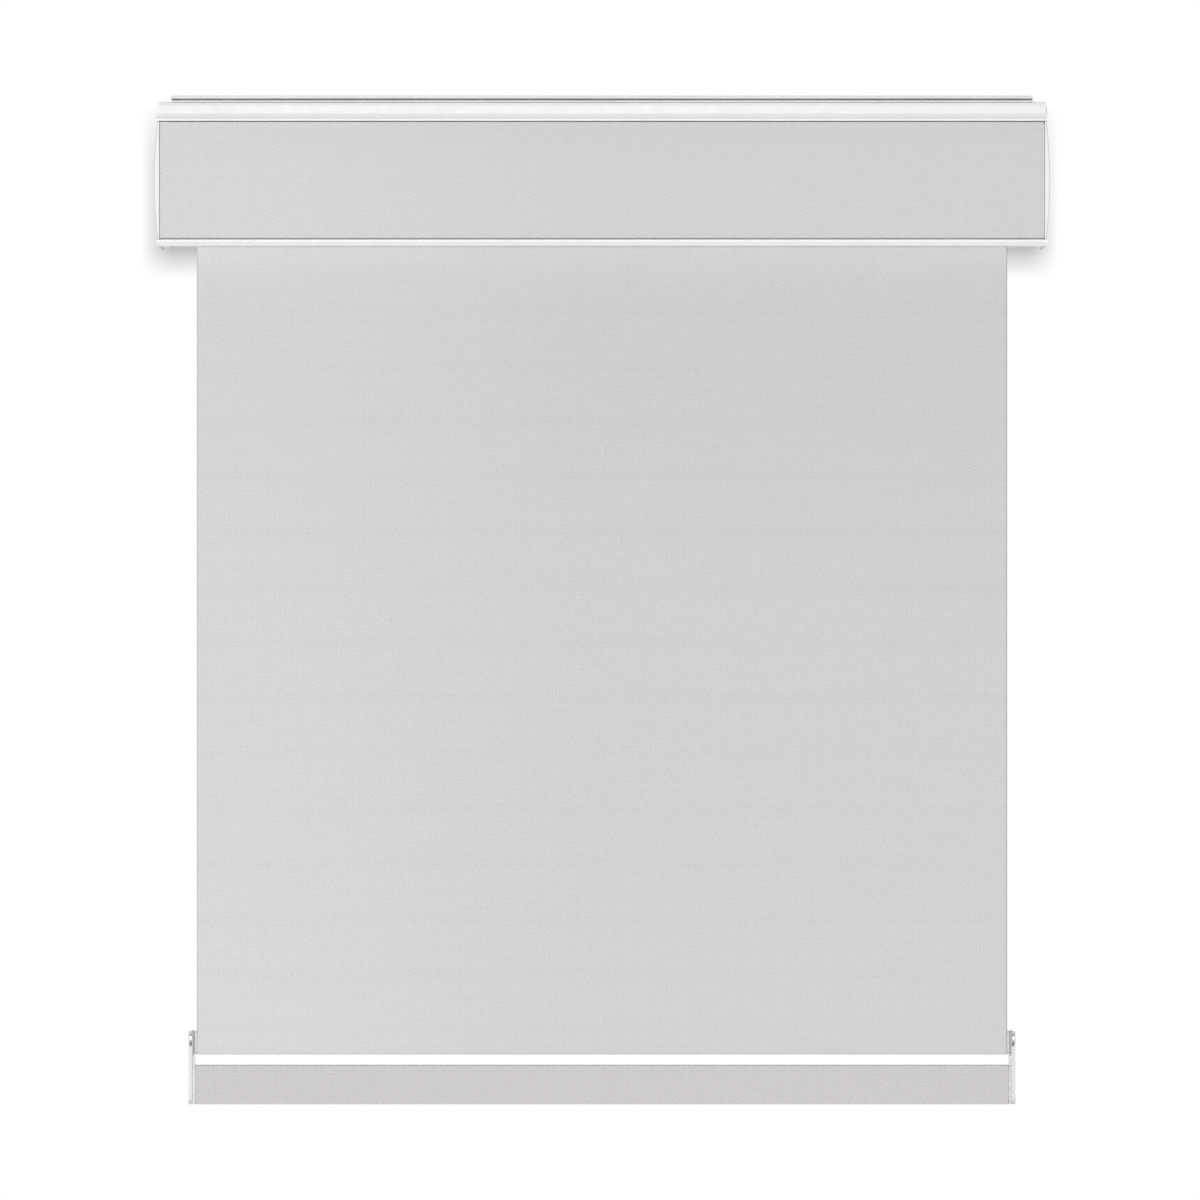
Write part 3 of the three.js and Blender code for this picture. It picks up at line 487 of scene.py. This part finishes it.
# The pocket's cloth goes down the front, round the foot, up the back and over to the front again
front_skin = PANEL_FRONT - 0.06 * MM
back_skin = -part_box("hem_pocket")[1].y + CLOTH / 2
fold = 0.9 * MM
pocket_foot = HEM_FOOT + CLOTH / 2
lap = HEM_TOP - 0.45 * MM
depths = [0, 1, 3, 6, 9, 12, 15, 17.5]
pocket_path = [
    *[(front_skin, HEM_TOP - depth * MM) for depth in depths],
    *arc(front_skin - fold, pocket_foot + fold, fold, 0, -90, 6),
    *arc(back_skin + fold, pocket_foot + fold, fold, -90, -180, 6),
    *[(back_skin, HEM_TOP - depth * MM) for depth in depths[:1:-1]],
    *arc(back_skin + fold / 2, lap - fold / 2, fold / 2, 180, 90, 5),
    (front_skin - 1.4 * MM, lap), (front_skin - 0.7 * MM, HEM_TOP - 0.25 * MM),
    (front_skin - 0.6 * MM, HEM_TOP),
]
pocket = piece(
    "hem_pocket_cloth", cloth("pocket", pocket_path, FABRIC_HALF, start=-HEM_TOP),
    "hanging_rail", "panel_fabric", ["hem_pocket"], hem_weave)

ROLL_TURNS = 2.3
ROLL_STEPS = 48                  # in a turn
ROLL_RADIUS = 21 * MM            # at its outer end
ROLL_PITCH = 0.62 * MM
roll_path = []
for i in range(round(ROLL_TURNS * ROLL_STEPS) + 1):
    turned = ROLL_TURNS - i / ROLL_STEPS
    radius = ROLL_RADIUS - ROLL_PITCH * turned
    roll_path += arc(*AXIS, radius, 360 * turned, 360 * turned, 1)[:1]
roll = piece(
    "fabric_roll_cloth", cloth("roll", roll_path, FABRIC_HALF, spacing=0.2),
    "roller", "panel_fabric", ["fabric_roll"], hem_weave)

insert_low, insert_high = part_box("fascia_insert")
insert_half = (insert_high.x - insert_low.x) / 2
INSERT_CLOTH = 0.4 * MM
TURN_IN = 8 * MM                 # the cloth turned over at the insert's back
face = -insert_low.y - INSERT_CLOTH / 2
back = -insert_high.y + INSERT_CLOTH / 2
top, foot = insert_high.z - INSERT_CLOTH / 2, insert_low.z + INSERT_CLOTH / 2
corner = 0.65 * MM
insert_path = [
    (back, top - TURN_IN), (back, top - corner),
    *arc(back + corner, top - corner, corner, 180, 90, 4)[1:],
    *arc(face - corner, top - corner, corner, 90, 0, 4),
    *[(face, mixed(top - corner, foot + corner, i / 10)) for i in range(1, 10)],
    *arc(face - corner, foot + corner, corner, 0, -90, 4),
    *arc(back + corner, foot + corner, corner, -90, -180, 4), (back, foot + TURN_IN),
]
insert_mesh = cloth("insert", insert_path, insert_half, INSERT_CLOTH, spacing=0.2)
insert_mesh.transform(Matrix.Translation(((insert_low.x + insert_high.x) / 2, 0, 0)))
insert = piece("fascia_insert_cloth", insert_mesh, "headrail", "insert_fabric", ["fascia_insert"])

cover_low, cover_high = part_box("bottom_rail_cover")
COVER = 0.35 * MM
SEAM_HALF = 0.6 * MM             # half the gap between the cover's two ends at the back
face, back = -cover_low.y - COVER / 2, -cover_high.y + COVER / 2
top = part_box("bottom_rail")[1].z + 0.05 * MM + COVER / 2
foot = cover_low.z + COVER / 2
corner = 0.45 * MM
seam = (top + foot) / 2
cover_path = [
    (back, seam + SEAM_HALF), (back, seam + 5 * MM), (back, top - corner),
    *arc(back + corner, top - corner, corner, 180, 90, 8)[1:],
    *arc(face - corner, top - corner, corner, 90, 0, 8),
    *[(face, mixed(top - corner, foot + corner, i / 5)) for i in range(1, 5)],
    *arc(face - corner, foot + corner, corner, 0, -90, 8),
    *arc(back + corner, foot + corner, corner, -90, -180, 8),
    (back, seam - 5 * MM), (back, seam - SEAM_HALF),
]
cover = piece(
    "bottom_rail_cover_cloth",
    cloth("cover", cover_path, cover_high.x, COVER, spacing=0.2),
    "hanging_rail", "cover_fabric", ["bottom_rail_cover"])

# ---- Springs ---------------------------------------------------------------------------

COIL_RADIUS = 10.4 * MM
COIL_WIRE = 0.9 * MM             # the wire's radius
COIL_TURNS = 80
COIL_INSET = 1 * MM
coil_low, coil_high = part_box("torsion_spring")
coil = spring_path(coil_low.x + COIL_INSET, coil_high.x - COIL_INSET, COIL_RADIUS, COIL_TURNS)
piece(
    "torsion_spring_coil", wire("torsion", coil, COIL_WIRE, 6),
    "roller", "spring_steel", ["torsion_spring"])

PIN_COIL_RADIUS = 4.4 * MM
PIN_COIL_WIRE = 0.45 * MM
PIN_COIL_TURNS = 7
spring_low, spring_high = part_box("idle_pin_spring")
pin_coil = spring_path(
    spring_low.x + PIN_COIL_WIRE, spring_high.x - PIN_COIL_WIRE, PIN_COIL_RADIUS, PIN_COIL_TURNS,
    closed_turns=1.0)
pin_spring = piece(
    "idle_pin_spring_coil", wire("pin_spring", pin_coil, PIN_COIL_WIRE),
    "headrail", "spring_steel", ["idle_pin_spring"])

# ---- Carried-over CAD pieces -----------------------------------------------------------

slots = {row["node"]: row["material_slot"] for row in frame["record"]["subparts"]}
bevels = {                       # widths in millimetres, by the start of the node's name
    "head_profile": 0.5,
    "fascia": 0.2,
    "mounting_rail": 0.25,
    "end_cap": 1.0,
    "rail_end_cap": 0.25,
    "hem_plug": 0.2,
    "hem_washer": 0.3,
    "rail_cap_pin": 0.3,
    "rail_cap_screw": 0.2,
    "end_bracket": 0.3,
    "mounting_clip": 0.2,
    "bottom_rail": 0.2,
    "weight_bar": 0.3,
    "hem_bar": 0.3,
    "roller_tube": 0.2,
}


def bevelled(obj, width):
    bevel = obj.modifiers.new("bevel", "BEVEL")
    bevel.width = width
    bevel.segments = 3
    bevel.limit_method = "ANGLE"
    bevel.angle_limit = math.radians(35)
    bevel.use_clamp_overlap = True
    bevel.harden_normals = True
    normals = obj.modifiers.new("normals", "WEIGHTED_NORMAL")
    normals.keep_sharp = True


for name, obj in nodes.items():
    if obj.hide_render:
        continue
    obj.data.materials.clear()
    # the head profile gets the darker coat, with its painted shade
    obj.data.materials.append(shaded_band_coat if name == "head_profile" else finishes[slots[name]])
    width = next((bevels[key] for key in bevels if name.startswith(key)), 0.0)
    if width:
        bevelled(obj, width * MM)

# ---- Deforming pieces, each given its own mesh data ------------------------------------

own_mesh(panel)
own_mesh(pin_spring)

# ---- Stage, light and camera -----------------------------------------------------------

PAINTED_SHADOW = 0.47                    # share of the wall's glow that the cassette's painted soft shadow takes
SHADOW_LEFT = 2 * MM             # how far to the left it falls
SHADOW_SIDE = (0.345, 0.371)     # it fades out between these distances to each side,
SHADOW_FOOT = (-0.1245, -0.1005)  # between these heights downwards,
SHADOW_TOP = (0.0155, -0.0325)   # and between these upwards
FLOOR = -1.5
ROOM = 2.2


def plane(name, corners, material):
    mesh = bpy.data.meshes.new(name)
    mesh.from_pydata(corners, [], [(0, 1, 2, 3)])
    mesh.materials.append(material)
    obj = bpy.data.objects.new(name, mesh)
    bpy.context.scene.collection.objects.link(obj)
    return obj


def one_sided(g, surface):
    """Shows the surface from its front and nothing from its back."""
    mix = g.add("MixShader")
    g.feed(mix.inputs[0], g.add("NewGeometry").outputs["Backfacing"])
    g.feed(mix.inputs[1], surface)
    g.feed(mix.inputs[2], g.add("BsdfTransparent").outputs[0])
    g.feed(g.tree.nodes["Material Output"].inputs["Surface"], mix.outputs[0])
    return g.material


def wall_material():
    """A white wall that glows evenly, with the cassette's soft shadow painted into its glow only close round the
    cassette.
    """
    g = Graph("wall", (0.9, 0.9, 0.9), 0.9)
    across = g.math("ABSOLUTE", g.math("ADD", g.axis("X"), SHADOW_LEFT))
    beside = g.math("POWER", g.remap(across, *SHADOW_SIDE, 0.0, 1.0), 1.3)
    under = g.math("POWER", g.remap(g.axis("Z"), *SHADOW_FOOT, 0.0, 1.0), 1.15)
    over = g.math("POWER", g.remap(g.axis("Z"), *SHADOW_TOP, 0.0, 1.0), 0.6)
    # the painted shadow: a soft-edged box round the cassette
    shade = g.math("MULTIPLY", g.math("SUBTRACT", 1.0, beside), g.math("MULTIPLY", under, over))
    white = g.add("Emission")
    white.inputs["Color"].default_value = (1, 1, 1, 1)
    g.feed(white.inputs["Strength"], g.remap(shade, 0.0, 1.0, 1.0, 1.0 - PAINTED_SHADOW))
    return one_sided(g, white.outputs[0])


def floor_material():
    g = Graph("floor", (0.86, 0.86, 0.86), 0.7)
    g.tint(g.remap(g.noise(3, 3), 0.3, 0.7, 0.99, 1.01))
    return one_sided(g, g.shader.outputs[0])


wall_foot = [(-ROOM, 0, FLOOR), (ROOM, 0, FLOOR)]
wall_top = [(ROOM, 0, ROOM), (-ROOM, 0, ROOM)]
floor_front = [(-ROOM, -2 * ROOM, FLOOR), (ROOM, -2 * ROOM, FLOOR)]
plane("wall", wall_foot + wall_top, wall_material())
plane("floor", [wall_foot[0], *floor_front, wall_foot[1]], floor_material())


def studio_world(pale, ambient):
    """A pale backdrop for what looks past the stage, and a weaker even light on the object."""
    world = bpy.data.worlds.new("studio")
    world.use_nodes = True
    tree = world.node_tree
    seen = tree.nodes.new("ShaderNodeLightPath").outputs["Is Camera Ray"]
    strength = tree.nodes.new("ShaderNodeMapRange")
    strength.inputs["To Min"].default_value = ambient
    strength.inputs["To Max"].default_value = pale
    tree.links.new(seen, strength.inputs["Value"])
    background = tree.nodes["Background"]
    background.inputs["Color"].default_value = (1.0, 1.0, 1.0, 1.0)
    tree.links.new(strength.outputs["Result"], background.inputs["Strength"])
    bpy.context.scene.world = world


def area_light(name, place, aim, size, radiance):
    """A rectangular softbox. radiance is its brightness, where the pale backdrop's is about 1."""
    data = bpy.data.lights.new(name, "AREA")
    data.shape = "RECTANGLE"
    data.size, data.size_y = size
    data.energy = radiance * math.pi * size[0] * size[1]
    obj = bpy.data.objects.new(name, data)
    bpy.context.scene.collection.objects.link(obj)
    obj.location = place
    obj.rotation_euler = (Vector(aim) - Vector(place)).to_track_quat("-Z", "Y").to_euler()


studio_world(pale=0.86, ambient=0.13)
area_light(
    "front", place=(-0.45, -8.6, -0.3), aim=(0.0, -0.08, -0.38), size=(1.7, 0.9), radiance=120.5)
area_light("above", place=(0.0, -0.2, 2.6), aim=(0.0, -0.2, 0.0), size=(2.6, 0.4), radiance=9.5)

CAMERA = (-0.0016, -8.088, -0.384)  # level with the blind's middle
camera_data = bpy.data.cameras.new("camera")
camera_data.lens = 300
camera_data.sensor_width = 36
camera_data.clip_end = 50
camera = bpy.data.objects.new("camera", camera_data)
bpy.context.scene.collection.objects.link(camera)
camera.location = CAMERA
camera.rotation_euler = (math.radians(90), 0, 0)
bpy.context.scene.camera = camera

view = bpy.context.scene.view_settings
view.view_transform = "Standard"
view.look = "None"
view.exposure = 0
view.gamma = 1
